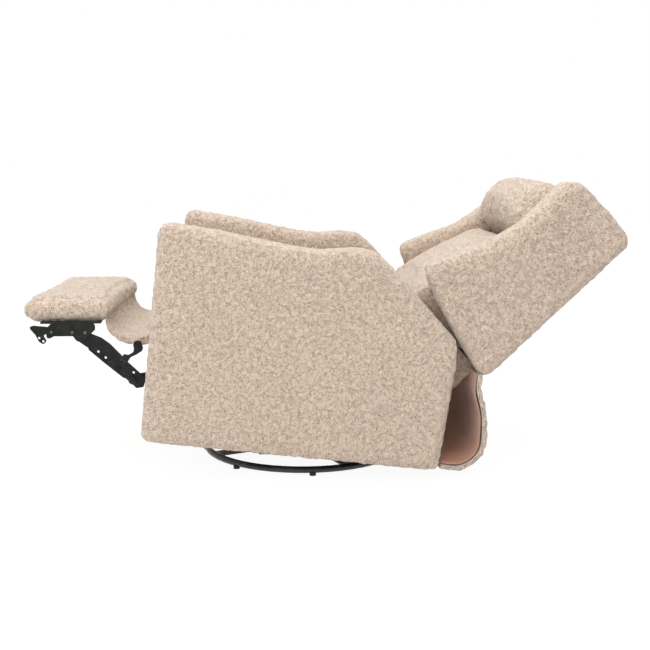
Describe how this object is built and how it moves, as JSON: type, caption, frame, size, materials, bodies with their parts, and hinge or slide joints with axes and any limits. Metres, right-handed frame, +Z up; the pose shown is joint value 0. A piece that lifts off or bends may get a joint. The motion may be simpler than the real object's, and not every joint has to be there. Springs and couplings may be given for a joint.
{
  "type": "swivel glider recliner",
  "caption": "Padded swivel glider recliner with square arms, winged tilting back, headrest roll, folding footrest on steel links and a round tube base.",
  "frame": {"origin": "on the floor, under the middle of the chair's whole width and length at rest; the swivel axis stands 44.8 mm in front of it", "axes": "+Z up, the chair faces -Y, +X is the sitter's left; rest is fully reclined with the footrest out"},
  "size_m": [0.78, 1.598, 0.7973],
  "materials": {
    "sherpa": "curly beige sherpa pile",
    "black_metal": "black powder coat, semi-gloss",
    "steel": "plain zinc-plated steel",
    "wood": "unfinished laminated board",
    "rubber": "matt black rubber",
    "black_plastic": "moulded, fine texture"
  },
  "bodies": {
    "base": {"base_ring_front": "black_metal", "base_ring_rear": "black_metal", "base_cross": "black_metal", "foot_1": "rubber", "foot_2": "rubber", "foot_3": "rubber", "foot_4": "rubber", "foot_5": "rubber", "foot_6": "rubber", "foot_7": "rubber", "foot_8": "rubber", "swivel_lower_race": "steel", "king_pin": "steel"},
    "swivel": {"turntable": "black_metal", "glide_rail_left": "black_metal", "glide_rail_right": "black_metal"},
    "front_links": {"glide_link_front_left": "black_metal", "glide_link_front_right": "black_metal"},
    "rear_links": {"glide_link_rear_left": "black_metal", "glide_link_rear_right": "black_metal"},
    "seat": {"side_plate_left": "black_metal", "side_plate_right": "black_metal", "seat_rail_left": "wood", "seat_rail_right": "wood", "seat_rail_front": "wood", "seat_rail_rear": "wood", "rear_stretcher": "wood", "back_pivot_plate_left": "black_metal", "back_pivot_plate_right": "black_metal", "seat_springs": "steel", "arm_left": "sherpa", "arm_right": "sherpa", "arm_board_left": "wood", "arm_board_right": "wood", "handle_cup": "black_plastic", "seat_cushion": "sherpa", "bridging_pad": "sherpa", "rear_skirt": "sherpa"},
    "leg_lower": {"leg_lower_left": "black_metal", "leg_lower_right": "black_metal", "leg_tube": "black_metal"},
    "leg_upper": {"leg_upper_left": "black_metal", "leg_upper_right": "black_metal"},
    "footrest": {"footrest_pad": "sherpa", "footrest_board": "wood", "footrest_angle_left": "black_metal", "footrest_angle_right": "black_metal"},
    "back": {"wing_left": "sherpa", "wing_right": "sherpa", "outer_back": "sherpa", "back_post_left": "wood", "back_post_right": "wood", "back_rail_lower": "wood", "back_rail_upper": "wood", "back_cushion": "sherpa", "headrest": "sherpa", "lower_back": "sherpa", "back_bracket_left": "black_metal", "back_bracket_right": "black_metal"},
    "handle": {"release_paddle": "black_metal"}
  },
  "joints": [
    {"name": "swivel", "type": "hinge", "parent": "base", "child": "swivel", "pos_m": [0, -0.04477, 0.03], "axis": [0, 0, 1], "continuous": true},
    {"name": "glide", "type": "hinge", "parent": "swivel", "child": "front_links", "pos_m": [0, -0.16977, 0.255], "axis": [-1, 0, 0], "range_deg": [0, 27.3]},
    {"name": "glide_rear", "type": "hinge", "parent": "swivel", "child": "rear_links", "pos_m": [0, 0.08023, 0.255], "axis": [-1, 0, 0], "range_deg": [0, 24.8]},
    {"name": "glide_seat", "type": "hinge", "parent": "front_links", "child": "seat", "pos_m": [0, -0.10018, 0.15921], "axis": [-1, 0, 0], "range_deg": [-35.4, 0]},
    {"name": "recline", "type": "hinge", "parent": "seat", "child": "back", "pos_m": [0, 0.22987, 0.39646], "axis": [1, 0, 0], "range_deg": [0, 22], "deforming": ["rear_skirt"]},
    {"name": "footrest", "type": "hinge", "parent": "seat", "child": "footrest", "pos_m": [0, -0.4432, 0.47818], "axis": [1, 0, 0], "range_deg": [0, 83.5], "deforming": ["bridging_pad"]},
    {"name": "leg_lower_swing", "type": "hinge", "parent": "seat", "child": "leg_lower", "pos_m": [0, -0.32457, 0.29155], "axis": [1, 0, 0], "range_deg": [0, 96.1]},
    {"name": "leg_upper_swing", "type": "hinge", "parent": "footrest", "child": "leg_upper", "pos_m": [0, -0.64556, 0.38046], "axis": [1, 0, 0], "range_deg": [-101.3, 0]},
    {"name": "release", "type": "hinge", "parent": "seat", "child": "handle", "pos_m": [-0.38, -0.25392, 0.47875], "axis": [-1, 0, 0], "range_deg": [0, 30], "stiffness_Nm_per_rad": 0.5}
  ],
  "couplings": [
    {"joint": "glide_seat", "follows": "glide", "ratio": -1.293},
    {"joint": "glide_rear", "follows": "glide", "ratio": 0.905},
    {"joint": "leg_lower_swing", "follows": "footrest", "ratio": 1.149},
    {"joint": "leg_upper_swing", "follows": "footrest", "ratio": -1.2116}
  ]
}
